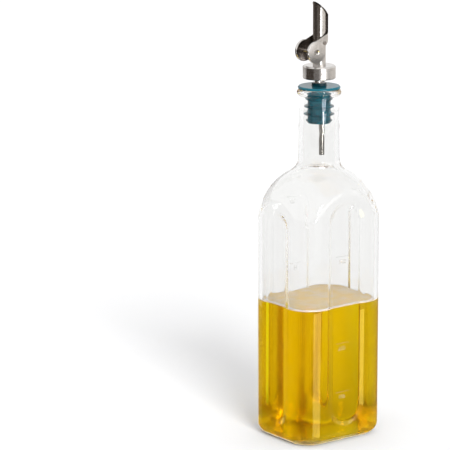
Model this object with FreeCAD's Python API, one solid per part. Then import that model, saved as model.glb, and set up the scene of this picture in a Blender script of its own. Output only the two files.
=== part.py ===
import FreeCAD, Part
import math
import os

# Oil and vinegar bottle: a rectangular glass bottle with a domed shoulder, part
# filled with oil, closed by a ribbed rubber stopper that carries a steel pourer
# with a weighted flap.  Millimetres, +Z up, origin at the centre of the base.
# The pourer pours towards -X and its flap turns about an axis along Y.

V = FreeCAD.Vector
UP = V(0, 0, 1)

# ---------------------------------------------------------------- glass bottle
body_w = 75.0           # outside width, along X
body_d = 64.0           # outside depth, along Y
corner_r = 17.5         # outside radius of the upright corners
heel_r = 8.0            # radius where the walls turn into the base
wall = 3.0              # glass thickness of walls, shoulder and neck
floor_t = 4.2           # glass thickness of the base
floor_r = 6.0           # inside radius where the walls meet the floor
punt_h = 1.6            # hollow under the base
punt_rim = 10.0         # width of the ring that the bottle stands on

shoulder_z = 151.0      # height where the dome starts
dome_r = 42.6           # radius of the dome seen from the side
dome_over = 0.25        # how far the dome's foot stands out past the corners
arch_round = 9.0        # rounding where the flat walls end in arches under the dome
neck_fillet_r = 9.5     # hollow curve between dome and neck
neck_low_r = 14.6       # outside radius at the foot of the neck
neck_top_r = 13.9       # outside radius under the lip
neck_wall = 3.2         # glass thickness at the mouth
lip_z = 246.0           # top of the glass
lip_h = 4.8             # height of the rounded lip
lip_out = 1.5           # how far the lip stands out from the neck
mouth_round = 0.8       # rounding of the mouth's inner edge
bore_r = neck_top_r - neck_wall
lip_r = neck_top_r + lip_out

# Each wall has a shallow sunk panel, an upright slot shape with round ends.  Its
# border is a soft S curve, made of a few narrow sloping strips.
panel_depth = 1.3
panel_slope = 5.0       # width of the soft border of a panel
panel_in_wide = 3.6     # from the round corner to the panel, on the walls facing Y
panel_in_narrow = 2.2   # and on the walls facing X
panel_low_z = 10.5
panel_under_arch = 6.0  # from the top of the wall's arch down to the panel
panel_strips = 5

# ------------------------------------------------------------------------- oil
oil_z = 97.4            # level of the oil

# --------------------------------------------------------------------- stopper
flange_in = 0.7         # how far the flange stays inside the lip's rim
flange_t = 2.2
stopper_len = 23.0      # from the lip down to the foot of the plug
core_gap_top = 2.7      # from the plug's core out to the bore, at the top
core_gap_low = 3.0      # and at the foot
fins = [                # depth of each fin's rim under the lip, its gap to the bore
    (2.6, 2.1),
    (6.2, 1.1),
    (11.4, 0.2),
    (16.8, 0.3),
    (21.4, 1.5),
]
fin_rim_t = 0.5         # thickness of a fin at its rim
fin_root_t = 1.6        # and where it leaves the core
boss_r = 5.2            # raised boss on the flange, round the shank
boss_h = 2.2

# -------------------------------------------------------------- pourer, static
collar_gap = 5.2        # from the flange up to the collar
collar_r = 11.45
collar_h = 9.1
collar_chamfer = 0.9
shank_r = 2.9           # thin tube between stopper and collar
shank_t = 0.4
shank_x = -0.8
shank_in_collar = 3.0
vent_r = 1.95           # air tube that hangs in the neck
vent_t = 0.4
vent_x = 4.1
vent_y = 1.9
vent_len = 24.0         # how far it hangs below the plug
spout_r = 4.5
spout_t = 0.5
spout_in_collar = 4.0
spout_h = 38.7          # from the collar to the slanting cut, on the spout's axis
cut_angle = 45.0        # slope of the cut, high on the pouring side

flange_top_z = lip_z + flange_t
stopper_low_z = lip_z - stopper_len
collar_low_z = flange_top_z + collar_gap
collar_top_z = collar_low_z + collar_h
cut_z = collar_top_z + spout_h

# ----------------------------------------------------------------- pourer, flap
pivot_h = 15.9          # hinge pins, above the collar
pivot_x = 0.0
pin_r = 0.8
pin_head_r = 1.3
pin_head_t = 0.35
pin_play = 0.05         # radial clearance of the pins in the flap's ears
flap_gap = 0.9          # from the spout to the inside of the bent sheet
flap_t = 0.6
lid_in = 0.3            # how far the lid stays inside the strip's outside
lid_over = 0.1          # how far the lid stands out past the spout's tip
lid_gap = 0.2           # between the lid and the spout's cut edge
strip_half_angle = 46.0 # the strip behind the spout, either side of the middle
strip_low = 1.0         # lower end of the strip, above the pivot
ear_back_low = 1.8      # lower back corner of the ears, below the pivot
ear_top_back = 6.0      # upper back corner of the ears, above the pivot
ear_back_x = 2.2
weight_x = -8.05
weight_drop = 5.6       # centre of the weights, below the pivot
weight_r = 7.65
weight_t = 1.4
weight_edge = 0.25
rod_r = 1.0
rivet_r = 2.0
rivet_t = 0.5

pivot_z = collar_top_z + pivot_h
flap_r = spout_r + flap_gap + flap_t
lid_back = flap_r - lid_in
lid_front = spout_r + lid_over
lid_r = (lid_back + lid_front) / 2
lid_x = (lid_back - lid_front) / 2
weight_z = pivot_z - weight_drop


def prism(width, depth, radius, low, high, foot_r=0.0):
    """Upright block with round corners, and a round foot if foot_r is given."""
    block = Part.makeBox(width, depth, high - low, V(-width / 2, -depth / 2, low))
    upright = [e for e in block.Edges if abs(e.Vertexes[0].Z - e.Vertexes[-1].Z) > 1.0]
    block = block.makeFillet(radius, upright)
    if foot_r > 0:
        foot = [e for e in block.Edges if e.BoundBox.ZMax < low + 1e-6]
        block = block.makeFillet(foot_r, foot)
    return block


def arc(centre, radius, start, end):
    """Arc in the XZ plane, angles in degrees."""
    def at(angle):
        a = math.radians(angle)
        return V(centre[0] + radius * math.cos(a), 0, centre[1] + radius * math.sin(a))
    return Part.Arc(at(start), at((start + end) / 2), at(end)).toShape()


def line(a, b):
    return Part.LineSegment(V(a[0], 0, a[1]), V(b[0], 0, b[1])).toShape()


def spin(edges):
    """Solid of revolution about Z from a closed outline in the XZ plane."""
    face = Part.Face(Part.Wire(Part.__sortEdges__(edges)))
    return face.revolve(V(0, 0, 0), UP, 360)


def spin_points(points):
    pts = points + [points[0]]
    return spin([line(a, b) for a, b in zip(pts[:-1], pts[1:])])


def tube(radius, thickness, low, high, x=0.0, y=0.0):
    outer = Part.makeCylinder(radius, high - low, V(x, y, low))
    return outer.cut(Part.makeCylinder(radius - thickness, high - low + 2, V(x, y, low - 1)))


def dome_centre_x():
    """Distance from the axis to the centre of the dome's arc."""
    reach = math.hypot(body_w / 2 - corner_r, body_d / 2 - corner_r) + corner_r + dome_over
    return reach - dome_r


def shoulder_spin(inset, low, top_edges):
    """Dome, hollow curve and neck as one solid of revolution.

    inset moves the whole outline inwards, so the same function makes the outside
    of the glass and its cavity.  top_edges closes the outline above the neck.
    """
    cx = dome_centre_x()
    fx = neck_low_r + neck_fillet_r
    fz = shoulder_z + math.sqrt((dome_r + neck_fillet_r) ** 2 - (fx - cx) ** 2)
    lean = math.degrees(math.atan2(fz - shoulder_z, fx - cx))
    r_dome = dome_r - inset
    r_fillet = neck_fillet_r + inset
    foot_r = cx + r_dome
    neck_foot = (neck_low_r - inset, fz)
    edges = [
        line((0, low), (foot_r, low)),
        line((foot_r, low), (foot_r, shoulder_z)),
        arc((cx, shoulder_z), r_dome, 0, lean),
        arc((fx, fz), r_fillet, 180 + lean, 180),
    ]
    return spin(edges + top_edges(neck_foot))


def outside_top(neck_foot):
    """Outline of neck and rounded lip, back to the axis."""
    round_r = lip_h / 2
    mid_z = lip_z - round_r
    under = (neck_top_r, lip_z - lip_h)
    return [
        line(neck_foot, under),
        line(under, (lip_r - round_r, lip_z - lip_h)),
        arc((lip_r - round_r, mid_z), round_r, -90, 90),
        line((lip_r - round_r, lip_z), (0, lip_z)),
        line((0, lip_z), (0, 0)),
    ]


def cavity_top(neck_foot):
    """Outline of the bore, running out above the mouth."""
    flare_z = lip_z - mouth_round
    flare = (bore_r + mouth_round, lip_z)
    return [
        line(neck_foot, (bore_r, flare_z)),
        arc((bore_r + mouth_round, flare_z), mouth_round, 180, 90),
        line(flare, (flare[0], lip_z + 1)),
        line((flare[0], lip_z + 1), (0, lip_z + 1)),
        line((0, lip_z + 1), (0, floor_t)),
    ]


def round_arches(body, radius):
    """Round the edges where the flat walls end under the dome."""
    arches = []
    for edge in body.Edges:
        kinds = [f.Surface.TypeId for f in body.ancestorsOfType(edge, Part.Face)]
        flat = any("Plane" in k for k in kinds)
        domed = any("Revolution" in k for k in kinds)
        if flat and domed and edge.BoundBox.ZMin > shoulder_z:
            arches.append(edge)
    return body.makeFillet(radius, arches)


def slot_wire(half, low, top, offset):
    """Upright slot outline on the plane Y = offset."""
    a = V(-half, offset, low + half)
    b = V(-half, offset, top - half)
    c = V(half, offset, top - half)
    d = V(half, offset, low + half)
    over = Part.Arc(b, V(0, offset, top), c).toShape()
    under = Part.Arc(d, V(0, offset, low), a).toShape()
    return Part.Wire([Part.LineSegment(a, b).toShape(), over,
                      Part.LineSegment(c, d).toShape(), under])


def panel_tool(half, top, face, lead=0.5):
    """Slot with a soft border that sinks panel_depth into the wall at Y = -face.

    lead is how far the tool starts outside the wall.
    """
    wires = [slot_wire(half, panel_low_z, top, -face - lead)]
    for step in range(panel_strips + 1):
        part = step / panel_strips
        sunk = panel_depth * part * part * (3 - 2 * part)
        edge = panel_slope * part
        wires.append(slot_wire(half - edge, panel_low_z + edge, top - edge, -face + sunk))
    return Part.makeLoft(wires, True, True)


def panel_tools(inset):
    """The four panel tools, for walls moved in by inset."""
    tools = []
    for angle in (0, 90, 180, 270):
        facing_y = angle % 180 == 0
        across = body_w if facing_y else body_d
        face = (body_d if facing_y else body_w) / 2
        half = across / 2 - corner_r - (panel_in_wide if facing_y else panel_in_narrow)
        arch_top = shoulder_z + math.sqrt(dome_r ** 2 - (face - dome_centre_x()) ** 2)
        tool = panel_tool(half, arch_top - panel_under_arch, face - inset)
        tool.rotate(V(0, 0, 0), UP, angle)
        tools.append(tool)
    return tools


def cavity():
    """Everything inside the glass, from the floor to above the mouth."""
    inner = prism(body_w - 2 * wall, body_d - 2 * wall, corner_r - wall,
                  floor_t, lip_z + 1, floor_r)
    hollow = inner.common(shoulder_spin(wall, floor_t, cavity_top))
    hollow = round_arches(hollow, arch_round - wall)
    for tool in panel_tools(wall):
        hollow = hollow.cut(tool)
    return hollow


def bottle_glass(hollow):
    outer = prism(body_w, body_d, corner_r, 0, lip_z, heel_r)
    glass = outer.common(shoulder_spin(0, 0, outside_top))
    glass = round_arches(glass, arch_round)
    for tool in panel_tools(0):
        glass = glass.cut(tool)
    punt = prism(body_w - 2 * punt_rim, body_d - 2 * punt_rim, corner_r - punt_rim / 2,
                 -punt_h, punt_h)
    top = [e for e in punt.Edges if e.BoundBox.ZMin > punt_h - 1e-6]
    punt = punt.makeFillet(punt_h * 0.95, top)
    return glass.cut(punt).cut(hollow)


def oil(hollow):
    level = Part.makeBox(body_w, body_d, oil_z, V(-body_w / 2, -body_d / 2, 0))
    return hollow.common(level)


def stopper():
    """Ribbed rubber plug under a flange, with a hole each for shank and air tube."""
    core_low_r = bore_r - core_gap_low
    core_top_r = bore_r - core_gap_top
    flange_r = lip_r - flange_in
    outline = [(0, stopper_low_z), (core_low_r, stopper_low_z)]
    for depth, gap in sorted(fins, reverse=True):
        z = lip_z - depth
        root = core_top_r + (core_low_r - core_top_r) * depth / stopper_len
        rim = bore_r - gap
        outline += [(root, z - fin_root_t), (rim, z - fin_rim_t), (rim, z), (root, z + 0.3)]
    outline += [(core_top_r, lip_z), (flange_r - 0.4, lip_z), (flange_r, lip_z + 0.4),
                (flange_r, flange_top_z - 0.7), (flange_r - 0.7, flange_top_z),
                (boss_r, flange_top_z), (boss_r - 0.4, flange_top_z + boss_h),
                (0, flange_top_z + boss_h)]
    plug = spin_points(outline)
    tall = stopper_len + flange_t + boss_h + 2
    shank_hole = Part.makeCylinder(shank_r, tall, V(shank_x, 0, stopper_low_z - 1))
    vent_hole = Part.makeCylinder(vent_r, tall, V(vent_x, vent_y, stopper_low_z - 1))
    return plug.cut(shank_hole).cut(vent_hole)


def collar():
    """Turned steel collar: the shank enters below, the spout above."""
    body = spin_points([
        (0, collar_low_z), (collar_r - 0.3, collar_low_z), (collar_r, collar_low_z + 0.3),
        (collar_r, collar_top_z - collar_chamfer),
        (collar_r - collar_chamfer, collar_top_z), (0, collar_top_z)])
    low_hole = Part.makeCylinder(shank_r, shank_in_collar, V(shank_x, 0, collar_low_z))
    way = Part.makeCylinder(shank_r - shank_t, collar_top_z - collar_low_z,
                            V(shank_x, 0, collar_low_z))
    top_hole = Part.makeCylinder(spout_r, spout_in_collar, V(0, 0, collar_top_z - spout_in_collar))
    return body.cut(low_hole).cut(way).cut(top_hole)


def above_slope(z_on_axis):
    """Large block above the slanting plane that is high towards -X."""
    block = Part.makeBox(80, 40, 60, V(-40, -20, 0))
    block.rotate(V(0, 0, 0), V(0, 1, 0), cut_angle)
    block.translate(V(0, 0, z_on_axis))
    return block


def spout_tube():
    pipe = tube(spout_r, spout_t, collar_top_z - spout_in_collar, cut_z + 12)
    pipe = pipe.cut(above_slope(cut_z))
    holes = Part.makeCylinder(pin_r, 2 * spout_r + 2, V(pivot_x, -spout_r - 1, pivot_z), V(0, 1, 0))
    return pipe.cut(holes)


def shank_tube():
    return tube(shank_r, shank_t, stopper_low_z, collar_low_z + shank_in_collar, shank_x)


def vent_tube():
    low = stopper_low_z - vent_len
    return tube(vent_r, vent_t, low, flange_top_z + boss_h, vent_x, vent_y)


def pivot_pin(side):
    """Short pin from inside the spout wall out through one ear."""
    inner = spout_r - spout_t
    shaft = Part.makeCylinder(pin_r, flap_r + 0.1 - inner, V(pivot_x, inner, pivot_z), V(0, 1, 0))
    head = Part.makeCylinder(pin_head_r, pin_head_t, V(pivot_x, flap_r + 0.1, pivot_z), V(0, 1, 0))
    pin = shaft.fuse(head).removeSplitter()
    pin = pin.common(Part.makeBox(10, 20, 20, V(pivot_x - 5, 0, pivot_z - 10)))
    if side < 0:
        pin = pin.mirror(V(0, 0, 0), V(0, 1, 0))
    return pin


def side_plate(points):
    """Prism along Y from an outline of (x, z) points."""
    wire = Part.makePolygon([V(x, -20, z) for x, z in points + [points[0]]])
    return Part.Face(wire).extrude(V(0, 40, 0))


def channel(radius, low, high, reach):
    """U shape open towards -X: round at the back, straight sides."""
    back = Part.makeCylinder(radius, high - low, V(0, 0, low))
    sides = Part.makeBox(reach, 2 * radius, high - low, V(-reach, -radius, low))
    return back.fuse(sides).removeSplitter()


def flap():
    """One bent sheet: two ears, a strip up the back of the spout and a slanting lid."""
    low = pivot_z - weight_drop - weight_r - 1
    high = cut_z + 14
    reach = -weight_x + weight_r + 1
    inner = flap_r - flap_t
    bent = channel(flap_r, low, high, reach).cut(channel(inner, low - 1, high + 1, reach + 2))

    disc = Part.makeCylinder(weight_r - 0.3, 40, V(weight_x, -20, weight_z), V(0, 1, 0))
    ear = side_plate([
        (weight_x, weight_z + weight_r - 0.3),
        (ear_back_x, pivot_z + ear_top_back),
        (flap_r * math.cos(math.radians(strip_half_angle)) + 0.2, pivot_z + ear_top_back + 1.0),
        (flap_r + 1, pivot_z + ear_top_back + 1.0),
        (flap_r + 1, pivot_z + strip_low),
        (flap_r * math.cos(math.radians(strip_half_angle)), pivot_z + strip_low),
        (0.8, pivot_z - ear_back_low),
        (weight_x + weight_r - 1.0, weight_z)])
    ears = bent.common(disc.fuse(ear))

    edge_x = flap_r * math.cos(math.radians(strip_half_angle))
    strip_tool = side_plate([(edge_x, pivot_z + strip_low), (flap_r + 1, pivot_z + strip_low),
                             (flap_r + 1, high), (edge_x, high)])
    strip = bent.common(strip_tool)

    rise = flap_t / math.cos(math.radians(cut_angle))
    under_z = cut_z + lid_gap / math.cos(math.radians(cut_angle))
    round_post = Part.makeCylinder(lid_r, 60, V(lid_x, 0, pivot_z + 8))
    back_post = Part.makeCylinder(flap_r, 60, V(0, 0, pivot_z + 8)).common(strip_tool)
    post = round_post.fuse(back_post)
    lid = post.common(above_slope(under_z)).cut(above_slope(under_z + rise))

    sheet = ears.fuse(strip).cut(above_slope(under_z + rise / 2)).fuse(lid).removeSplitter()
    pin_hole = Part.makeCylinder(pin_r + pin_play, 40, V(pivot_x, -20, pivot_z), V(0, 1, 0))
    rod_hole = Part.makeCylinder(rod_r, 40, V(weight_x, -20, weight_z), V(0, 1, 0))
    return sheet.cut(pin_hole).cut(rod_hole)


def weight(side):
    """Round counterweight on the outside of one ear."""
    start = flap_r if side > 0 else -flap_r - weight_t
    disc = Part.makeCylinder(weight_r, weight_t, V(weight_x, start, weight_z), V(0, 1, 0))
    disc = disc.makeChamfer(weight_edge, [e for e in disc.Edges if e.Closed])
    hole = Part.makeCylinder(rod_r, 40, V(weight_x, -20, weight_z), V(0, 1, 0))
    return disc.cut(hole)


def weight_rod():
    """Rod that joins the weights, with a rivet head on each end."""
    half = flap_r + weight_t
    rod = Part.makeCylinder(rod_r, 2 * half, V(weight_x, -half, weight_z), V(0, 1, 0))
    for start in (half, -half - rivet_t):
        head = Part.makeCylinder(rivet_r, rivet_t, V(weight_x, start, weight_z), V(0, 1, 0))
        rod = rod.fuse(head)
    return rod.removeSplitter()


def main():
    os.makedirs("parts", exist_ok=True)
    hollow = cavity()
    nodes = {
        "bottle_glass": bottle_glass(hollow),
        "oil": oil(hollow),
        "stopper": stopper(),
        "shank_tube": shank_tube(),
        "vent_tube": vent_tube(),
        "collar": collar(),
        "spout_tube": spout_tube(),
        "pivot_pin_front": pivot_pin(-1),
        "pivot_pin_back": pivot_pin(1),
        "flap": flap(),
        "weight_front": weight(-1),
        "weight_back": weight(1),
        "weight_rod": weight_rod(),
    }
    for name, shape in nodes.items():
        print(name, "solids", len(shape.Solids), "valid", shape.isValid(), "mm3", round(shape.Volume, 1))
        shape.exportStep("parts/" + name + ".step")


main()
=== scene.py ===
# %% [markdown]
# # Oil and vinegar bottle
# A rectangular glass bottle, part filled with golden oil, with a ribbed rubber
# stopper and a steel pourer whose weighted flap shuts the spout. The imported solids
# are the frame that every piece is fitted to. This script adds what solids can't
# show well: clear glass, the curved edge of the oil, turned steel and soft rubber.
# It starts by loading the frame. Blender works in metres
# here, and MM turns the millimetres of a workshop drawing into them.

# %% Load the frame
import bpy, bmesh, math
from mathutils import Matrix, Vector


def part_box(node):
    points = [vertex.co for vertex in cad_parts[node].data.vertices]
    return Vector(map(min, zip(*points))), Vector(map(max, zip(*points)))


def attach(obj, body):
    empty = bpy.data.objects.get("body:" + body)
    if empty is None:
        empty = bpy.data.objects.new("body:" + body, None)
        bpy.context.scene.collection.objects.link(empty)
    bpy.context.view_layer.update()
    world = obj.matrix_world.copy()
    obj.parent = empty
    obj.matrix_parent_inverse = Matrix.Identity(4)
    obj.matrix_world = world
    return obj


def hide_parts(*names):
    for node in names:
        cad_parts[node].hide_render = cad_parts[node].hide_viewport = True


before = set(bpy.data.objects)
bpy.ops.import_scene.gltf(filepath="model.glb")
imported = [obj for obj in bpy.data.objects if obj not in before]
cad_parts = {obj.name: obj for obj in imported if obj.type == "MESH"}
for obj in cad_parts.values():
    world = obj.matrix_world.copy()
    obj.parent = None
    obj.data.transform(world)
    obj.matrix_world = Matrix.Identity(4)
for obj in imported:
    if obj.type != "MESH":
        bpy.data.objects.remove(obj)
scene = bpy.context.scene
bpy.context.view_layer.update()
MM = 0.001

# %% [markdown]
# ## How a finish is built
# No real surface is one even colour: glass waves, rubber is cloudy, steel carries
# fine lines. An image could hold that detail, but it would need unwrapping and would
# blur close up. Here each finish is a few nodes instead. They read Object
# coordinates, so a pattern stays put on its piece and keeps its real scale. Two
# helpers are enough to begin with: one makes noise, the other turns it into relief.

# %% Material, pattern and relief
def new_material(name):
    """A node material, with its tree and its shader at hand."""
    mat = bpy.data.materials.new(name)
    mat.use_nodes = True
    tree = mat.node_tree
    shader = tree.nodes["Principled BSDF"]
    return mat, tree, shader


def pattern(tree, scale, stretch=(1, 1, 1), detail=2.0):
    """Noise on Object coordinates, stretched along an axis where needed."""
    place = tree.nodes.new("ShaderNodeTexCoord")
    turn = tree.nodes.new("ShaderNodeMapping")
    turn.inputs["Scale"].default_value = stretch
    noise = tree.nodes.new("ShaderNodeTexNoise")
    noise.inputs["Scale"].default_value = scale
    noise.inputs["Detail"].default_value = detail
    noise.inputs["Roughness"].default_value = 0.5
    tree.links.new(place.outputs["Object"], turn.inputs["Vector"])
    tree.links.new(turn.outputs["Vector"], noise.inputs["Vector"])
    return noise.outputs["Fac"]


def bump(tree, shader, height, distance, strength=1.0, under=None):
    """Relief of a height in metres, on top of another relief if one is given."""
    lift = tree.nodes.new("ShaderNodeBump")
    lift.inputs["Strength"].default_value = strength
    lift.inputs["Distance"].default_value = distance
    tree.links.new(height, lift.inputs["Height"])
    if under:
        tree.links.new(under, lift.inputs["Normal"])
    tree.links.new(lift.outputs["Normal"], shader.inputs["Normal"])
    return lift.outputs["Normal"]


print("finishes that come with the frame:", len(bpy.data.materials))

# %% [markdown]
# ### Clear glass
# Moulded soda glass bends light by 1.5 and is nearly colourless. A mould never
# gives a perfect surface: the walls wave a little and carry faint upright draws.
# Both are left to a very low bump, since real displacement would cost many faces.
#
# Four versions share one recipe. Oil and glass bend light nearly alike, so hardly
# anything is mirrored where they touch, and the wet wall has its mirror turned off.
# The inside of the neck has none either. Real glass would mirror there, but a second
# bright band over the dark plug would hide it. The lip's glass is almost without
# tint, because light runs round inside it many times and is tinted at each turn, so
# the lip takes a clearer copy of the same glass, which paints it lighter.

# %% Clear glass
GLASS_BENDS = 1.5
FULL_MIRROR, NO_MIRROR = 0.5, 0.0
WALL_TINT = (0.925, 0.925, 0.917)
# A clearer tint that paints the lip lighter than the wall glass.
LIGHTER_LIP_TINT = (0.997, 0.997, 0.993)


def clear_glass(name, mirror, tint=WALL_TINT):
    """Glass with a full mirror or none; the tint is what each surface lets through."""
    mat, tree, shader = new_material(name)
    shader.inputs["Base Color"].default_value = (*tint, 1)
    shader.inputs["Roughness"].default_value = 0.0
    shader.inputs["IOR"].default_value = GLASS_BENDS
    shader.inputs["Specular IOR Level"].default_value = mirror
    shader.inputs["Specular Tint"].default_value = (2 * mirror, 2 * mirror, 2 * mirror, 1)
    shader.inputs["Transmission Weight"].default_value = 1.0
    waves = pattern(tree, 38, (1, 1, 0.45), detail=1.0)
    draws = pattern(tree, 150, (1, 1, 0.04), detail=1.5)
    first = bump(tree, shader, waves, 0.00008)
    bump(tree, shader, draws, 0.00002, under=first)
    return mat


glass_finish = clear_glass("clear_glass", FULL_MIRROR)
wet_glass = clear_glass("wet_glass", NO_MIRROR)
lip_glass = clear_glass("lip_glass", FULL_MIRROR, LIGHTER_LIP_TINT)
lip_inside = clear_glass("lip_inside", NO_MIRROR, LIGHTER_LIP_TINT)
print("glass:", [m.name for m in (glass_finish, wet_glass, lip_glass, lip_inside)])

# %% [markdown]
# ### Golden oil
# Oil is coloured through its depth: thin edges are pale and the long way through
# the corner is dark. A tinted surface alone can't do that. So the skin gives the
# yellow, and a volume behind it deepens it with distance: it absorbs blue most, then
# green, and a little red. The skin at the wall is slightly rough, because the oil is
# a bit cloudy and spreads the light.
#
# Seen at a low angle, the open surface mirrors the white room over the gold below
# it. That reflection is painted: the top lets only a fifth of the light through and
# spreads the rest in a pale tan. The rim that climbs the wall shows as a pale line,
# and a painted highlight makes it nearly white and lets none through.

# %% Golden oil
OIL_BENDS = 1.47
OIL_DEPTH, OIL_DENSITY = (0.985, 0.905, 0.02), 90.0


def blend_colours(tree, fac, first, second):
    """Two colours that follow the middle of a pattern."""
    ramp = tree.nodes.new("ShaderNodeValToRGB")
    ramp.color_ramp.elements[0].position = 0.35
    ramp.color_ramp.elements[0].color = (*first, 1)
    ramp.color_ramp.elements[1].position = 0.65
    ramp.color_ramp.elements[1].color = (*second, 1)
    tree.links.new(fac, ramp.inputs["Fac"])
    return ramp.outputs["Color"]


def golden_oil(name, film, clear, mirror, rough=0.0, cloud=0.05):
    """Oil with a film colour on its skin; clear is how much light passes the skin."""
    mat, tree, shader = new_material(name)
    skin = pattern(tree, 90, detail=3.0)
    paler = tuple(1 - (1 - c) * (1 - cloud) for c in film)
    tree.links.new(blend_colours(tree, skin, film, paler), shader.inputs["Base Color"])
    shader.inputs["Roughness"].default_value = rough
    shader.inputs["IOR"].default_value = OIL_BENDS
    shader.inputs["Specular IOR Level"].default_value = mirror
    shader.inputs["Specular Tint"].default_value = (2 * mirror, 2 * mirror, 2 * mirror, 1)
    shader.inputs["Transmission Weight"].default_value = clear
    depth = tree.nodes.new("ShaderNodeVolumeAbsorption")
    depth.inputs["Color"].default_value = (*OIL_DEPTH, 1)
    depth.inputs["Density"].default_value = OIL_DENSITY
    tree.links.new(depth.outputs["Volume"], tree.nodes["Material Output"].inputs["Volume"])
    ripples = pattern(tree, 60, detail=2.0)
    bump(tree, shader, ripples, 0.0001)
    return mat


oil_finish = golden_oil("golden_oil", (0.95, 0.945, 0.035), 1.0, NO_MIRROR, rough=0.15)
# The top's pale tan paints the reflection of the room on the oil.
painted_reflection_top = golden_oil("painted_reflection_top", (1.0, 0.68, 0.17), 0.18, FULL_MIRROR, cloud=0.3)
# The rim's near white is a painted highlight on the meniscus.
painted_highlight_rim = golden_oil("painted_highlight_rim", (1.0, 0.92, 0.86), 0.0, FULL_MIRROR)
print("oil:", [m.name for m in (oil_finish, painted_reflection_top, painted_highlight_rim)])

# %% [markdown]
# ### Teal rubber
# The stopper is soft moulded rubber with a satin skin. Its colour is slightly cloudy,
# its shine changes from place to place, and a fine grain breaks up the highlight. A
# flat colour would look like paint, so all three come from noise of different scales.
# The boss round the shank lies in the collar's shade, and painted shade darkens it:
# it takes the same rubber at three tenths of its brightness.

# %% Teal rubber
TEAL_LOW, TEAL_HIGH = (0.004, 0.070, 0.098), (0.007, 0.088, 0.118)


def spread(tree, fac, low, high):
    """Map the middle of a noise pattern to a range of numbers."""
    remap = tree.nodes.new("ShaderNodeMapRange")
    remap.inputs["From Min"].default_value = 0.3
    remap.inputs["From Max"].default_value = 0.7
    remap.inputs["To Min"].default_value = low
    remap.inputs["To Max"].default_value = high
    tree.links.new(fac, remap.inputs["Value"])
    return remap.outputs["Result"]


def teal_rubber(name, brightness):
    """Rubber in two cloudy tones, both times the brightness."""
    mat, tree, shader = new_material(name)
    cloud = pattern(tree, 220, detail=3.0)
    low, high = [tuple(c * brightness for c in tone) for tone in (TEAL_LOW, TEAL_HIGH)]
    skin = blend_colours(tree, cloud, low, high)
    tree.links.new(skin, shader.inputs["Base Color"])
    shine = spread(tree, pattern(tree, 900), 0.1, 0.16)
    tree.links.new(shine, shader.inputs["Roughness"])
    shader.inputs["IOR"].default_value = 1.5
    shader.inputs["Specular IOR Level"].default_value = 0.2
    bump(tree, shader, pattern(tree, 2600, detail=3.0), 0.00004, 0.1)
    return mat


rubber_finish = teal_rubber("teal_rubber", 1.0)
# A darker copy of the rubber, which paints the collar's shade on the boss.
shaded_rubber = teal_rubber("shaded_rubber", 0.3)
print("rubber:", [m.name for m in (rubber_finish, shaded_rubber)])

# %% [markdown]
# ### Steel
# The pourer is stainless steel. Turned parts have fine rings round their axis, drawn
# tubes have lines along it, and the pressed sheet has a cloudy polish. Scratches
# could be painted by hand, but noise that is stretched along one axis gives all
# three. Darker copies of the steel are painted shade. Faces that look inwards take one
# that paints their shade and the dim reflections they show of each other. The air tube
# takes one that paints the shade in the neck, and the cut edges of the sheet take the
# darkest one, also painted shade.

# %% Steel
# The three darker tints below are painted shade, not other kinds of steel.
STEEL, NECK_SHADE_STEEL = (0.60, 0.575, 0.55), (0.2, 0.19, 0.175)
INNER_SHADE_STEEL, EDGE_SHADE_STEEL = (0.36, 0.325, 0.30), (0.09, 0.08, 0.075)
RINGS, DRAWN, CLOUDY = (1, 1, 60), (30, 30, 1), (1, 1, 1)


def steel(name, stretch, scale, low, high, tint=STEEL):
    """Steel with lines of a stretch and scale, and a roughness from low to high."""
    mat, tree, shader = new_material(name)
    shader.inputs["Metallic"].default_value = 1.0
    paler = tuple(min(1.0, c * 1.12) for c in tint)
    cloud = pattern(tree, 260, detail=2.0)
    tree.links.new(blend_colours(tree, cloud, tint, paler), shader.inputs["Base Color"])
    lines = pattern(tree, scale, stretch, detail=4.0)
    tree.links.new(spread(tree, lines, low, high), shader.inputs["Roughness"])
    bump(tree, shader, lines, 0.000001, 0.12)
    return mat


turned_steel = steel("turned_steel", RINGS, 150, 0.16, 0.26)
drawn_steel = steel("drawn_steel", DRAWN, 60, 0.1, 0.2)
# A darker copy of the drawn steel, which paints the shade inside the neck.
neck_shade_steel = steel("neck_shade_steel", DRAWN, 60, 0.14, 0.24, NECK_SHADE_STEEL)
pressed_steel = steel("pressed_steel", CLOUDY, 700, 0.2, 0.25)
# Darker copies of the same steel: painted shade on inward faces and cut edges.
inner_shade_steel = steel("inner_shade_steel", CLOUDY, 700, 0.2, 0.25, INNER_SHADE_STEEL)
edge_shade_steel = steel("edge_shade_steel", CLOUDY, 700, 0.2, 0.25, EDGE_SHADE_STEEL)
print("steel:", [m.name for m in (turned_steel, drawn_steel, neck_shade_steel, pressed_steel,
                                  inner_shade_steel, edge_shade_steel)])

# %% [markdown]
# ## From a mesh to a piece
# Every piece goes the same way: a bmesh is shaped with operators, written to an
# object, and told which body of the frame it rides on, so that it moves with that
# body. The object could be moved into place afterwards, but the export wants each
# object at the origin, so a piece's place is always in its mesh.
#
# Smooth shading would smear round the corners, so edges over an angle are kept crisp,
# and a modifier lets large flat faces decide the shading next to small rounded ones.

# %% Piece and shading
def new_piece(name, bm, body, stands_for=(), material=None):
    """Turn a bmesh into an object that rides on a body of the frame."""
    mesh = bpy.data.meshes.new(name)
    bm.to_mesh(mesh)
    bm.free()
    piece = bpy.data.objects.new(name, mesh)
    scene.collection.objects.link(piece)
    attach(piece, body)
    if stands_for:
        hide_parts(*stands_for)
    if material:
        mesh.materials.append(material)
    print(f"{name}: {len(mesh.polygons)} faces")
    return piece


def shade(bm, sharp_deg=35.0):
    """Smooth faces, with edges over the angle kept crisp."""
    for face in bm.faces:
        face.smooth = True
    limit = math.radians(sharp_deg)
    for edge in bm.edges:
        edge.smooth = not (len(edge.link_faces) == 2 and edge.calc_face_angle() > limit)


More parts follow.
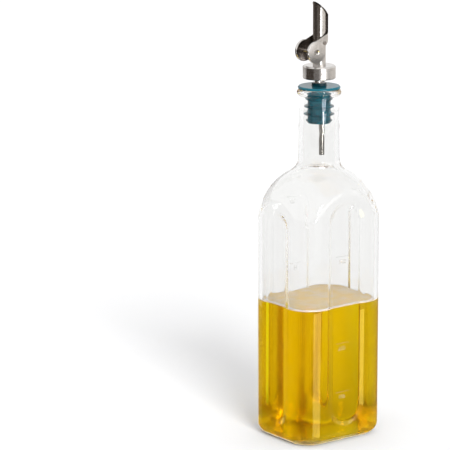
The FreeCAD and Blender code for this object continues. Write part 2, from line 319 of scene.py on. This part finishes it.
def finish_normals(piece):
    """Let large flat faces decide the shading next to small rounded ones."""
    even = piece.modifiers.new("even shading", "WEIGHTED_NORMAL")
    even.mode = "FACE_AREA"
    even.weight = 50
    even.keep_sharp = True


def copy_of(node):
    """A merged copy of a CAD node's triangles, with its walls kept as they are."""
    bm = bmesh.new()
    bm.from_mesh(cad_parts[node].data)
    bmesh.ops.remove_doubles(bm, verts=bm.verts, dist=2e-6)
    return bm


print("nodes in the frame:", len(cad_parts))

# %% [markdown]
# ## The glass
# The bottle is blown into a mould: a rounded rectangle that ends in four arches
# under a dome, with a shallow panel sunk in each wall and a cavity that follows it.
# It could be rebuilt from a cage of quads, but the solid already holds the exact
# wall, and glass shows every tenth of a millimetre of it. So the piece is a merged
# copy of the solid.
#
# The lip is the exception, because it bends light so strongly that the solid's
# facets would show. The copy is cut through the neck, a fine section of neck and lip
# is spun on the same radii, and the two are bridged outside and inside.

# %% Glass with its finely turned lip
CUT_HEIGHT = 232.0
NECK_OUT, NECK_IN, BETWEEN_WALLS = 14.030, 10.929, 12.5
LIP_BEAD, LIP_MOUTH = ((13.0, 243.6), 2.4), ((11.5, 245.2), 0.8)


def arc(centre, radius, start, end, steps):
    """Points (radius, height) on an arc, angles in degrees."""
    turns = [math.radians(start + (end - start) * i / steps) for i in range(steps + 1)]
    return [(centre[0] + radius * math.cos(t), centre[1] + radius * math.sin(t)) for t in turns]


def turn_the_lip(bm):
    """Swap the coarse triangles above the cut for a finely turned neck and lip."""
    whole = bm.verts[:] + bm.edges[:] + bm.faces[:]
    bmesh.ops.bisect_plane(bm, geom=whole, dist=1e-7, plane_co=(0, 0, CUT_HEIGHT * MM),
                           plane_no=(0, 0, 1), clear_outer=True)
    below = [e for e in bm.edges if len(e.link_faces) == 1]
    section = [(NECK_OUT, CUT_HEIGHT + 1), *arc(*LIP_BEAD, -68, 90, 14),
               *arc(*LIP_MOUTH, 90, 180, 6), (NECK_IN, CUT_HEIGHT + 1)]
    dots = [bm.verts.new((r * MM, 0, z * MM)) for r, z in section]
    wires = [bm.edges.new(pair) for pair in zip(dots, dots[1:])]
    bmesh.ops.spin(bm, geom=dots + wires, cent=(0, 0, 0), axis=(0, 0, 1), angle=math.tau,
                   steps=144, use_merge=True, use_duplicate=False)
    over = (CUT_HEIGHT + 0.5) * MM
    bmesh.ops.remove_doubles(bm, verts=[v for v in bm.verts if v.co.z > over], dist=1e-6)
    above = [e for e in bm.edges if len(e.link_faces) == 1 and e.verts[0].co.z > over]
    for low, high in ((0, BETWEEN_WALLS), (BETWEEN_WALLS, 99)):
        loops = [e for e in below + above
                 if low * MM < e.verts[0].co.to_2d().length < high * MM]
        bmesh.ops.bridge_loops(bm, edges=loops)
    bmesh.ops.recalc_face_normals(bm, faces=bm.faces)
    print("open edges left:", sum(len(e.link_faces) != 2 for e in bm.edges))


glass_bm = copy_of("bottle_glass")
turn_the_lip(glass_bm)
shade(glass_bm, 50)

# %% [markdown]
# ### Which glass goes where
# One bottle needs all four kinds of glass. Separate shells for them would leave
# seams, which glass shows at once. So the mesh stays whole, and each face takes its
# finish from where it lies and which way it looks: the wet one where an inward face
# touches the oil or lines the neck, and the lip's own two above its start.

# %% Finishes on the glass
CLEAR, WET, LIP, LIP_INSIDE = 0, 1, 2, 3
NECK_FOOT, NECK_TOP, NECK_RADIUS, LIP_START = 180, 245, 12, 236
NEAR = 1e-4
oil_low, oil_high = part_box("oil")


def glass_slot(face):
    """The finish for a face of the glass, from its place and direction."""
    spot = face.calc_center_median()
    inward = face.normal.x * spot.x + face.normal.y * spot.y < -1e-6 or face.normal.z > 0.5
    by_oil = (oil_low.x - NEAR < spot.x < oil_high.x + NEAR
              and oil_low.y - NEAR < spot.y < oil_high.y + NEAR
              and oil_low.z - NEAR < spot.z < oil_high.z)
    in_neck = (NECK_FOOT * MM < spot.z < NECK_TOP * MM
               and spot.to_2d().length < NECK_RADIUS * MM)
    no_mirror = inward and (by_oil or in_neck)
    if spot.z > LIP_START * MM:
        return LIP_INSIDE if no_mirror else LIP
    return WET if no_mirror else CLEAR


for face in glass_bm.faces:
    face.material_index = glass_slot(face)
bottle = new_piece("glass_bottle", glass_bm, "bottle", ["bottle_glass"], glass_finish)
for material in (wet_glass, lip_glass, lip_inside):
    bottle.data.materials.append(material)
finish_normals(bottle)
print("faces without a mirror:",
      sum(p.material_index in (WET, LIP_INSIDE) for p in bottle.data.polygons))

# %% [markdown]
# ## The oil
# The oil fills the cavity up to its level. Its solid stops at the glass, and a
# surface that only touches the wall shows as a film of air. A liquid simulation would
# settle to the same flat body, so the solid is copied and each vertex moves outwards
# by a fifth of a millimetre, into the wall. At the level itself the move follows only
# the walls beside it, so that the top stays flat.

# %% Oil that reaches into the wall
INTO_WALL, BELOW_LEVEL = 0.2, 0.1

oil_bm = copy_of("oil")
oil_bm.normal_update()
level = oil_high.z
whole = oil_bm.verts[:] + oil_bm.edges[:] + oil_bm.faces[:]
bmesh.ops.bisect_plane(oil_bm, geom=whole, dist=1e-7,
                       plane_co=(0, 0, level - BELOW_LEVEL * MM), plane_no=(0, 0, 1))
oil_bm.normal_update()
for vert in oil_bm.verts:
    out = Vector((vert.normal.x, vert.normal.y, min(vert.normal.z, 0.0)))
    if vert.co.z > level - 1e-5:
        sides = [f.normal for f in vert.link_faces if abs(f.normal.z) < 0.5]
        out = sum(sides, Vector()) if sides else Vector()
    if out.length > 0.01:
        vert.co += out.normalized() * INTO_WALL * MM
print("oil level, mm:", round(level / MM, 2), "vertices:", len(oil_bm.verts))

# %% [markdown]
# ### The rim of the oil
# A real liquid climbs the glass for about half a millimetre, and this bright curved
# rim is what the eye reads as liquid. A subdivision surface would round the whole
# body. Insetting the flat top a few times and lifting the outer rings bends only the
# rim. Each row of RIM says how far a ring lies inside the last one and how high it
# is lifted, in millimetres.

# %% Oil rim
RIM = [(0.0, 0.58), (0.25, 0.27), (0.35, 0.1), (0.6, 0.03), (0.9, 0.0)]
SURFACE, CLIMBING = 1, 2
STEEP = 0.85

top = [f for f in oil_bm.faces
       if f.normal.z > 0.999 and f.calc_center_median().z > level - 1e-5]
top = bmesh.ops.dissolve_faces(oil_bm, faces=top)["region"]
rings = [top[0].verts[:]]
for step, _ in RIM[1:]:
    before = set(oil_bm.verts)
    bmesh.ops.inset_region(oil_bm, faces=top, thickness=step * MM, use_even_offset=True)
    rings.append([v for v in oil_bm.verts if v not in before])
for loop, (_, lift) in zip(rings, RIM):
    for vert in loop:
        vert.co.z = level + lift * MM
bmesh.ops.triangulate(oil_bm, faces=[f for f in oil_bm.faces if len(f.verts) > 4])
shade(oil_bm, 50)
oil_bm.normal_update()
for face in oil_bm.faces:
    if face.calc_center_median().z > level - 0.09 * MM:
        face.material_index = CLIMBING if face.normal.z < STEEP else SURFACE
oil = new_piece("oil_fill", oil_bm, "bottle", ["oil"], oil_finish)
for material in (painted_reflection_top, painted_highlight_rim):
    oil.data.materials.append(material)
finish_normals(oil)
print("points in each rim ring:", [len(loop) for loop in rings])

# %% [markdown]
# ## A lathe
# The collar, the weights and the stopper's mould are turned in real life, and the
# tubes are round as well. So the next pieces share one helper. It draws half of a
# section as a few points (radius, height) and spins it once round an axis. A wire
# with a screw modifier gives the same shape, but the spin gives plain mesh, whose
# doubled seam is merged at once. Corners are bevelled where an edge is given, because
# no turned edge is perfectly sharp.

# %% Lathe
LATHE_STEPS = 96


def soften(bm, width, over_deg=35.0, segments=3):
    """Bevel every edge that is sharper than the angle."""
    limit = math.radians(over_deg)
    edges = [e for e in bm.edges if len(e.link_faces) == 2 and e.calc_face_angle() > limit]
    bmesh.ops.bevel(bm, geom=edges, offset=width, offset_type="OFFSET", affect="EDGES",
                    segments=segments, profile=0.5, material=-1, clamp_overlap=True)


def lathe(section, axis="Z", at=(0.0, 0.0, 0.0), steps=LATHE_STEPS, edge=0.0):
    """Spin a closed half section of (radius, along) points, in mm, round an axis."""
    bm = bmesh.new()
    dots = [bm.verts.new((r * MM, 0, a * MM)) for r, a in section]
    wires = [bm.edges.new(pair) for pair in zip(dots, dots[1:])]
    if section[0][0] > 0 and section[-1][0] > 0:
        wires.append(bm.edges.new((dots[-1], dots[0])))
    bmesh.ops.spin(bm, geom=dots + wires, cent=(0, 0, 0), axis=(0, 0, 1),
                   angle=math.tau, steps=steps, use_merge=True, use_duplicate=False)
    bmesh.ops.remove_doubles(bm, verts=bm.verts, dist=1e-6)
    bmesh.ops.recalc_face_normals(bm, faces=bm.faces)
    if edge:
        soften(bm, edge * MM)
    if axis == "Y":
        bmesh.ops.rotate(bm, verts=bm.verts, cent=(0, 0, 0),
                         matrix=Matrix.Rotation(-math.pi / 2, 3, "X"))
    bmesh.ops.translate(bm, verts=bm.verts, vec=Vector(at) * MM)
    shade(bm)
    return bm


print("lathe step, degrees:", 360 / LATHE_STEPS)

# %% [markdown]
# ## The stopper
# A moulded rubber plug: a flange that sits on the lip, a low boss above it, and
# below it five fins that seal the neck. The fins could be five discs that are joined
# by a boolean. But they are all in the half section, so one spin makes the whole
# stopper without a seam. Each fin slopes below and is nearly flat above, and three
# points round off its rim. FINS gives each fin's depth below the lip and its gap to
# the bore, from the lowest up.

# %% Rubber stopper
LIP_TOP, BORE, PLUG_FOOT = 246.0, 10.7, 223.0
FINS = [(21.4, 1.5), (16.8, 0.3), (11.4, 0.2), (6.2, 1.1), (2.6, 2.1)]
SHADED_BOSS, BOSS_START, BOSS_RADIUS = 1, 248.25, 6

stopper_section = [(0, PLUG_FOOT), (7.3, PLUG_FOOT), (7.7, 223.4)]
for depth, gap in FINS:
    z, rim = LIP_TOP - depth, BORE - gap
    stopper_section += [(7.9, z - 2.0), (rim - 0.5, z - 0.75), (rim, z - 0.3), (rim - 0.2, z),
                        (8.2, z + 0.3)]
stopper_section += [(8.3, 246.06), (12.5, 246.06), (14.7, 246.6), (14.7, 247.5), (14.0, 248.2),
                    (5.7, 248.2), (5.2, 248.6), (5.0, 250.2), (4.8, 250.4), (0, 250.4)]
stopper_bm = lathe(stopper_section, steps=128)
# The boss takes the darker rubber: painted shade under the collar.
for face in stopper_bm.faces:
    spot = face.calc_center_median()
    if spot.z > BOSS_START * MM and spot.to_2d().length < BOSS_RADIUS * MM:
        face.material_index = SHADED_BOSS
stopper = new_piece("rubber_stopper", stopper_bm, "bottle", ["stopper"], rubber_finish)
stopper.data.materials.append(shaded_rubber)

# %% [markdown]
# ## Shank and air tube
# Two thin drawn tubes go into the stopper. The shank carries the pourer, and the
# air tube lets air in while oil runs out. A curve with a round bevel would look the
# same from outside, but these ends are open, so each tube is spun from a section that
# has both its walls.

# %% Shank and air tube
shank_section = [(2.9, PLUG_FOOT), (2.9, 256.4), (2.5, 256.4), (2.5, PLUG_FOOT)]
shank = new_piece("shank", lathe(shank_section, at=(-0.8, 0, 0), edge=0.08), "bottle",
                  ["shank_tube"], drawn_steel)
air_section = [(1.95, 199), (1.95, 250.4), (1.55, 250.4), (1.55, 199)]
# The air tube takes the darker steel: painted shade inside the neck.
air = new_piece("air_tube", lathe(air_section, at=(4.1, 1.9, 0), edge=0.08), "bottle",
                ["vent_tube"], neck_shade_steel)

# %% [markdown]
# ## The collar
# A turned steel disc joins the shank to the spout. It has a broken edge below, a
# wider chamfer on top and a bore that holds the spout. A cylinder with a bevel could
# stand for it, but a half section states the chamfers and the bore outright.

# %% Turned collar
collar_section = [(0, 253.4), (11.1, 253.4), (11.45, 253.75), (11.45, 261.6), (10.55, 262.5),
                  (4.7, 262.5), (4.5, 262.3), (4.5, 258.5), (0, 258.5)]
collar = new_piece("turned_collar", lathe(collar_section, edge=0.12, steps=128), "bottle",
                   ["collar"], turned_steel)
for turned in (shank, air, collar):
    finish_normals(turned)

# %% [markdown]
# ## The spout
# A steel tube, cut off at 45 degrees. A boolean could cut a straight tube, but it
# tends to leave thin triangles on the slant. Here the walls are four rings with the
# same number of points, joined by bridging. The two upper rings lie on the slanting
# plane, where the height falls by a millimetre for each millimetre along X.
#
# One fault is left here. Bridged in this order, the narrow rims at the cut and at the
# foot come out twisted: their faces cross the bore and close it, which shows once the
# flap is open. Bridging both rims before both walls would leave the bore open.

# %% Spout with its slanting cut
CUT_Z, SPOUT_FOOT = 301.2, 258.5
SPOUT_OUT, SPOUT_IN = 4.5, 4.0


def ring(bm, radius, z, slant=False, steps=LATHE_STEPS):
    """Circle of points at a height, or on the slanting cut."""
    made = bmesh.ops.create_circle(bm, cap_ends=False, segments=steps,
                                   radius=radius * MM)["verts"]
    for vert in made:
        vert.co.z = (CUT_Z * MM - vert.co.x) if slant else z * MM
    return [e for e in bm.edges if e.verts[0] in made and e.verts[1] in made]


spout_bm = bmesh.new()
spout_rings = [ring(spout_bm, SPOUT_OUT, SPOUT_FOOT), ring(spout_bm, SPOUT_OUT, 0, True),
               ring(spout_bm, SPOUT_IN, 0, True), ring(spout_bm, SPOUT_IN, SPOUT_FOOT)]
for near, far in zip(spout_rings, spout_rings[1:] + spout_rings[:1]):
    bmesh.ops.bridge_loops(spout_bm, edges=near + far)
bmesh.ops.recalc_face_normals(spout_bm, faces=spout_bm.faces)
soften(spout_bm, 0.1 * MM, segments=2)
shade(spout_bm)
spout = new_piece("spout", spout_bm, "bottle", ["spout_tube"], drawn_steel)
finish_normals(spout)

# %% [markdown]
# ## The flap
# One pressed sheet forms both ears, the strip behind the spout and the slanting
# lid. A folded grid with thickness could make it, but the cut outline is exact in the
# solid, so the bent sheet is a merged copy. Its flat faces are joined again, and its
# edges get the small break that pressing leaves. Faces that look inwards take a darker
# steel that paints their shade, and the cut edges above the ears take the darkest one,
# also painted shade.

# %% Pressed flap
SHADED_SIDE, SHADED_EDGE, EARS_END = 1, 2, 286


def flap_slot(face):
    """The finish for a face of the sheet, from its place and direction."""
    spot, out = face.calc_center_median(), face.normal
    if abs(out.y) > 0.35 and spot.z > EARS_END * MM:
        return SHADED_EDGE
    inside_ear = abs(out.y) > 0.9 and out.y * spot.y < 0
    inside_strip = abs(out.y) < 0.5 and out.x * spot.x < 0
    return SHADED_SIDE if inside_ear or inside_strip else 0


flap_bm = copy_of("flap")
bmesh.ops.dissolve_limit(flap_bm, angle_limit=math.radians(0.5), verts=flap_bm.verts,
                         edges=flap_bm.edges, use_dissolve_boundaries=False)
shade(flap_bm, 30)
for face in flap_bm.faces:
    # Inward faces and cut edges take the darker steels of painted shade.
    face.material_index = flap_slot(face)
flap = new_piece("pressed_flap", flap_bm, "pourer_flap", ["flap"], pressed_steel)
for material in (inner_shade_steel, edge_shade_steel):
    flap.data.materials.append(material)
flap_edge = flap.modifiers.new("broken edge", "BEVEL")
flap_edge.width = 0.08 * MM
flap_edge.segments = 2
flap_edge.limit_method = "ANGLE"
flap_edge.angle_limit = math.radians(50)
finish_normals(flap)

# %% [markdown]
# ## Weights
# A round steel weight sits on each ear and shuts the flap when the bottle stands.
# A short cylinder would do from afar, but close up its rim catches the light, so each
# disc is spun from a section with its chamfers, and its axis is then laid along Y.

# %% Weights
WEIGHT_X, WEIGHT_Z = -8.05, 272.8
weight_section = [(0, 6.0), (7.4, 6.0), (7.65, 6.25), (7.65, 7.15), (7.4, 7.4), (0, 7.4)]
for side, node in ((-1, "weight_front"), (1, "weight_back")):
    half = [(r, side * y) for r, y in weight_section]
    new_piece(f"{node}_disc", lathe(half, "Y", (WEIGHT_X, 0, WEIGHT_Z), edge=0.12),
              "pourer_flap", [node], pressed_steel)

# %% [markdown]
# ## Rod through the weights
# A rivet rod holds both weights, and its ends are peened over into round heads with
# a dimple. Two heads could be joined to a plain rod, but here half of the section is
# drawn once and mirrored, so they match. The rim of each head and the ring round its
# dimple lie in shade, so they take the darker steel that paints it.

# %% Weight rod
HEAD_START, HEAD_RIM, DIMPLE_IN, DIMPLE_OUT = 7.39, 1.78, 0.3, 0.9
rod_half = [(0, 7.4), (0.55, 7.4), (0.75, 7.62), (1.75, 7.85), (2.0, 7.62), (2.0, 7.4),
            (1.0, 7.4)]
rod_section = [(r, -y) for r, y in rod_half] + [(r, y) for r, y in reversed(rod_half)]
rod_bm = lathe(rod_section, "Y", (WEIGHT_X, 0, WEIGHT_Z), steps=64)
for face in rod_bm.faces:
    spot = face.calc_center_median() / MM
    off = math.hypot(spot.x - WEIGHT_X, spot.z - WEIGHT_Z)
    if abs(spot.y) > HEAD_START and (off > HEAD_RIM or DIMPLE_IN < off < DIMPLE_OUT):
        face.material_index = SHADED_SIDE
rod = new_piece("weight_axle", rod_bm, "pourer_flap", ["weight_rod"], turned_steel)
rod.data.materials.append(inner_shade_steel)

# %% [markdown]
# ## Hinge pins
# Two short pins on the spout carry the flap. They belong to the bottle, so they ride
# on it and stand still while the flap turns. Plain rods would be enough behind the
# ears, but their heads are seen from the side, so the section has a head with a
# chamfer.

# %% Hinge pins
HINGE_Z = 278.4
pin_section = [(0, 4.05), (0.8, 4.05), (0.8, 6.1), (1.3, 6.1), (1.3, 6.3), (1.15, 6.45),
               (0, 6.45)]
# The pins take the darker steel of painted shade.
for side, node in ((-1, "pivot_pin_front"), (1, "pivot_pin_back")):
    half = [(r, side * y) for r, y in pin_section]
    new_piece(f"{node}_turned", lathe(half, "Y", (0, 0, HINGE_Z), steps=48), "bottle", [node],
              inner_shade_steel)

# %% [markdown]
# ## Measuring marks
# Low figures and lines stand out of the glass where a fill level is read. They are
# plain numbers for millilitres in front and ounces behind. A boolean could join them
# to the wall, but thin raised pieces that reach a little into it look the same and
# keep the wall clean. A text object gives the figures. It is made a mesh first and
# placed after that, so that its place is in the mesh.

# %% Figure and line
FIGURE_DEPTH, LINE_DEPTH, LINE_TALL = 0.3, 0.6, 0.5
TEXT_SIZE = 1.35


def figure(words, tall, x, z, wall_y, facing):
    """Raised figures on a wall that faces -Y (facing -1) or +Y (facing 1)."""
    curve = bpy.data.curves.new("figure", "FONT")
    curve.body = words
    curve.size = tall * MM * TEXT_SIZE
    curve.align_x = "CENTER"
    curve.extrude = FIGURE_DEPTH * MM
    curve.resolution_u = 4
    draft = bpy.data.objects.new("draft", curve)
    scene.collection.objects.link(draft)
    mesh = bpy.data.meshes.new_from_object(draft)
    bpy.data.objects.remove(draft)
    turn = Matrix.Rotation(math.pi / 2, 4, "X")
    if facing > 0:
        turn = Matrix.Rotation(math.pi, 4, "Z") @ turn
    mesh.transform(Matrix.Translation((x * MM, wall_y * MM, z * MM)) @ turn)
    return mesh


def bar(bm, x0, x1, z, wall_y):
    """Short level line from x0 to x1."""
    made = bmesh.ops.create_cube(bm, size=1.0)["verts"]
    bmesh.ops.scale(bm, verts=made, vec=((x1 - x0) * MM, LINE_DEPTH * MM, LINE_TALL * MM))
    bmesh.ops.translate(bm, verts=made, vec=((x0 + x1) / 2 * MM, wall_y * MM, z * MM))


print("marks stand out, mm:", FIGURE_DEPTH)

# %% [markdown]
# ### The two scales
# Each scale is a few figures with a line above them, on the sunk panel of its wall.
# They could be placed one by one, but two short tables keep figure and line together.
# All of them go into one piece, because real marks are part of the same glass.

# %% Measuring marks
PANEL_Y = 64.0 / 2 - 1.2
LINE_ABOVE = 5.0
FRONT_MARKS = [("500", 128.6), ("250", 66.6), ("100", 31.6)]
BACK_MARKS = [("20", 160.0), ("14", 112.0), ("8", 62.0)]

marks_bm = bmesh.new()
for words, z in FRONT_MARKS:
    marks_bm.from_mesh(figure(words, 3.0, -3.5, z, -PANEL_Y, -1))
    bar(marks_bm, -9.0, 2.0, z + LINE_ABOVE, -PANEL_Y)
for words, z in BACK_MARKS:
    marks_bm.from_mesh(figure(words, 3.4, 0.0, z, PANEL_Y, 1))
    bar(marks_bm, -5.0, 5.0, z + LINE_ABOVE, PANEL_Y)
bmesh.ops.remove_doubles(marks_bm, verts=marks_bm.verts, dist=1e-6)
shade(marks_bm)
new_piece("measuring_marks", marks_bm, "bottle", (), glass_finish)

# %% [markdown]
# ## Floor
# The bottle stands on a wide pale sheet. It lies a fifth of a millimetre lower than
# the glass, so the two never share a plane. A backdrop that curves up would hide the
# horizon, but the white world does that already. Mirror rays don't see the floor,
# because they are left to the cards further down.

# %% Pale floor
FLOOR_SIZE, FLOOR_DROP = 8.0, 0.0002
FLOOR_COLOUR = (0.735, 0.735, 0.74)

floor_bm = bmesh.new()
bmesh.ops.create_grid(floor_bm, x_segments=1, y_segments=1, size=FLOOR_SIZE)
bmesh.ops.translate(floor_bm, verts=floor_bm.verts, vec=(0, 0, -FLOOR_DROP))
floor_mesh = bpy.data.meshes.new("floor")
floor_bm.to_mesh(floor_mesh)
floor_bm.free()
floor = bpy.data.objects.new("floor", floor_mesh)
scene.collection.objects.link(floor)
floor_mat, _, floor_shader = new_material("pale_floor")
floor_shader.inputs["Base Color"].default_value = (*FLOOR_COLOUR, 1)
floor_shader.inputs["Roughness"].default_value = 0.9
floor_shader.inputs["Specular IOR Level"].default_value = 0.0
floor_mesh.materials.append(floor_mat)
floor.visible_glossy = False
print("floor, m:", [round(side, 2) for side in floor.dimensions])

# %% [markdown]
# ## Daylight
# White light comes from all round, and a window in front, a little to the right,
# throws the long pale shadow. A large area lamp could be the window, but it would
# have to stand close to be bright. A sun lamp with a wide angle gives the same soft
# edge from any distance. Places in the studio are given as an angle to the right of
# the camera's side, a distance from the bottle and a height.

# %% World and window
TO_CAMERA = Vector((-0.6049, -0.7963, 0))
TO_RIGHT = Vector((0.7963, -0.6049, 0))
SUN_STRENGTH, SUN_WIDTH = 3.25, 24


def around(angle_deg, distance, height):
    """Place at an angle to the right of the camera's side, seen from the bottle."""
    a = math.radians(angle_deg)
    flat = TO_CAMERA * math.cos(a) + TO_RIGHT * math.sin(a)
    return flat * distance + Vector((0, 0, height))


world = bpy.data.worlds.new("studio")
scene.world = world
world.use_nodes = True
world.node_tree.nodes["Background"].inputs["Color"].default_value = (1, 1, 1, 1)
world.node_tree.nodes["Background"].inputs["Strength"].default_value = 1.0
sun = bpy.data.lights.new("window", "SUN")
sun.energy = SUN_STRENGTH
sun.angle = math.radians(SUN_WIDTH)
window = bpy.data.objects.new("window", sun)
scene.collection.objects.link(window)
window.location = around(19, 2.0, 1.02)
window.rotation_mode = "QUATERNION"
window.rotation_quaternion = (-window.location).to_track_quat("-Z", "Y")
window.visible_glossy = False
print("window at, m:", [round(v, 2) for v in window.location])

# %% [markdown]
# ## Cards for reflections
# Steel and glass show mostly what they mirror. In an even white room they would look
# like white plastic, so a studio stands cards round the bottle: dark ones for depth
# and bright ones for crisp bands. A picture of a room wrapped round the scene would
# do it too, but cards can be placed one by one. Each is a piece of a tall cylinder
# with its own glow, and only mirror rays see it.

# %% One card
CARD_RADIUS = 0.95


def card(name, start, end, low, high, glow, tint):
    """Upright curved card between two angles and two heights, for mirror rays only."""
    mat = bpy.data.materials.new(name)
    mat.use_nodes = True
    tree = mat.node_tree
    tree.nodes.remove(tree.nodes["Principled BSDF"])
    shine = tree.nodes.new("ShaderNodeEmission")
    shine.inputs["Color"].default_value = (*tint, 1)
    shine.inputs["Strength"].default_value = glow
    tree.links.new(shine.outputs["Emission"], tree.nodes["Material Output"].inputs["Surface"])
    bm = bmesh.new()
    foot = [bm.verts.new(around(start, CARD_RADIUS, z)) for z in (low, high)]
    wire = bm.edges.new(foot)
    bmesh.ops.spin(bm, geom=foot + [wire], cent=(0, 0, 0), axis=(0, 0, 1),
                   angle=math.radians(end - start), steps=12, use_merge=False)
    mesh = bpy.data.meshes.new(name)
    bm.to_mesh(mesh)
    bm.free()
    made = bpy.data.objects.new(name, mesh)
    scene.collection.objects.link(made)
    mesh.materials.append(mat)
    made.visible_camera = made.visible_diffuse = made.visible_transmission = False
    made.visible_shadow = made.visible_volume_scatter = False


print("cards stand, m from the bottle:", CARD_RADIUS)

# %% [markdown]
# ### The tiers of cards
# One table holds the studio: a card's name, its two angles, its two heights, its glow
# and its colour. The camera looks down, so an upright surface mirrors a height well
# below its own. That is why there are four tiers: the glass walls mirror the low one,
# and the collar, the spout and the shoulder of the glass each mirror another. The
# brightest cards stand to the right of the camera, on the window's side, and the
# darkest ones to the left and straight in front. A lamp could make a bright band too,
# but the sharp edge of a card is what makes metal look hard.

# %% Stand the cards
FOOT, SHIN, WAIST, NECK, COLLAR = -1.2, -0.42, -0.15, 0.06, 0.095
SHOULDER, TOP, OVER = 0.19, 0.4, 0.5
WHITE, CREAM, PEARL, IVORY = (1, 1, 1), (1.0, 0.96, 0.91), (1.0, 0.97, 0.94), (1.0, 0.95, 0.9)
BROWN, AMBER, BUTTER = (1.0, 0.82, 0.7), (1.0, 0.68, 0.38), (1.0, 0.82, 0.22)
CARDS = [
    ("low_back_left", -155, -112, FOOT, WAIST, 0.25, AMBER),
    ("low_back_left_up", -155, -112, WAIST, NECK, 0.6, WHITE),
    ("low_left", -112, -40, FOOT, NECK, 0.02, BROWN),
    ("low_front", -40, 18, FOOT, NECK, 0.05, BROWN),
    ("low_bright", 18, 52, SHIN, WAIST, 5.6, BUTTER),
    ("low_bright_foot", 18, 52, FOOT, SHIN, 0.5, IVORY),
    ("low_bright_dim", 18, 52, WAIST, NECK, 0.25, WHITE),
    ("low_right_front", 52, 84, FOOT, NECK, 0.05, WHITE),
    ("low_right", 84, 155, FOOT, WAIST, 0.25, AMBER),
    ("low_right_up", 84, 155, WAIST, NECK, 0.3, WHITE),
    ("collar_back_left", -158, -102, NECK, COLLAR, 1.2, WHITE),
    ("collar_left", -102, -40, NECK, COLLAR, 0.14, BROWN),
    ("collar_front", -40, 20, NECK, COLLAR, 0.6, WHITE),
    ("collar_bright", 22, 33, NECK, COLLAR, 1.3, WHITE),
    ("collar_grey", 33, 74, NECK, COLLAR, 0.55, WHITE),
    ("collar_right", 74, 155, NECK, COLLAR, 0.95, PEARL),
    ("spout_back_left", -170, -112, COLLAR, TOP, 0.15, BROWN),
    ("spout_left", -112, -40, COLLAR, TOP, 0.06, BROWN),
    ("spout_front", -40, 18, COLLAR, TOP, 0.12, BROWN),
    ("spout_bright", 21, 48, COLLAR, SHOULDER, 0.6, WHITE),
    ("shoulder_bright", 18, 68, SHOULDER, OVER, 2.6, WHITE),
    ("spout_right", 52, 155, COLLAR, SHOULDER, 0.85, CREAM),
    ("shoulder_right", 68, 155, SHOULDER, TOP, 0.85, CREAM),
]
for row in CARDS:
    card(*row)
print("cards:", len(CARDS))

# %% [markdown]
# ## Two soft panels
# The satin sheet spreads light too much for a card to brighten it, and the stopper
# sits behind glass, through which cards aren't seen. So each gets a real panel lamp
# in front: a wide one for the sheet, and a fainter cool one whose reflection runs
# down the plug.

# %% Soft panels
def soft_panel(name, angle_deg, distance, above, width, height, power, tint=WHITE):
    """Rectangular lamp that faces the bottle's axis, above the floor by a height."""
    light = bpy.data.lights.new(name, "AREA")
    light.shape = "RECTANGLE"
    light.size, light.size_y = width, height
    light.energy = power
    light.color = tint
    lamp = bpy.data.objects.new(name, light)
    scene.collection.objects.link(lamp)
    spot, target = around(angle_deg, distance, above), Vector((0, 0, above))
    lamp.location = spot
    lamp.rotation_mode = "QUATERNION"
    lamp.rotation_quaternion = (target - spot).to_track_quat("-Z", "Y")
    lamp.visible_camera = False
    print(f"{name}: {power} W, {width} by {height} m")


soft_panel("strip_panel", 28, 1.0, 0.035, 0.42, 0.08, 6.2)
soft_panel("neck_panel", 27, 0.93, 0.092, 0.36, 0.034, 0.3, (0.86, 0.9, 1.0))

# %% [markdown]
# ## Camera
# A long lens keeps the bottle's upright edges nearly parallel. The camera could aim
# itself with a constraint, but plain angles say more: turned round the upright, tipped
# down, and rolled by a hair. The small sideways shift only frames the bottle.

# %% Camera
TURNED, TIPPED_DOWN, ROLLED = -37.22, 13.14, -0.15
LENS_MM, SENSOR_MM = 222.45, 36.0

lens = bpy.data.cameras.new("camera")
camera = bpy.data.objects.new("camera", lens)
scene.collection.objects.link(camera)
lens.sensor_width = SENSOR_MM
lens.lens = LENS_MM
lens.shift_x = -0.01476
lens.clip_start, lens.clip_end = 0.1, 50
camera.location = (-1.18848, -1.46463, 0.5898)
camera.rotation_mode = "QUATERNION"
camera.rotation_quaternion = (Matrix.Rotation(math.radians(TURNED), 3, "Z")
                              @ Matrix.Rotation(math.radians(90 - TIPPED_DOWN), 3, "X")
                              @ Matrix.Rotation(math.radians(ROLLED), 3, "Z")).to_quaternion()
scene.camera = camera
print("camera to bottle, m:", round(camera.location.length, 2))

# %% [markdown]
# ## Light paths
# Light that is caught in the glass turns round many times before it gets out. With
# too few bounces it is given up for lost, and the ends of the lip turn dark. A thin
# clear coat in place of the solid wall would avoid that, but it wouldn't bend what is
# behind it. So the limit is high, which costs little, because few rays need it. The
# plain colour transform keeps the floor white.

# %% Light paths and colour
BOUNCES = 96
scene.cycles.max_bounces = BOUNCES
scene.cycles.transmission_bounces = BOUNCES
scene.cycles.glossy_bounces = BOUNCES
scene.view_settings.view_transform = "Standard"
scene.view_settings.look = "None"
print("bounces:", BOUNCES)
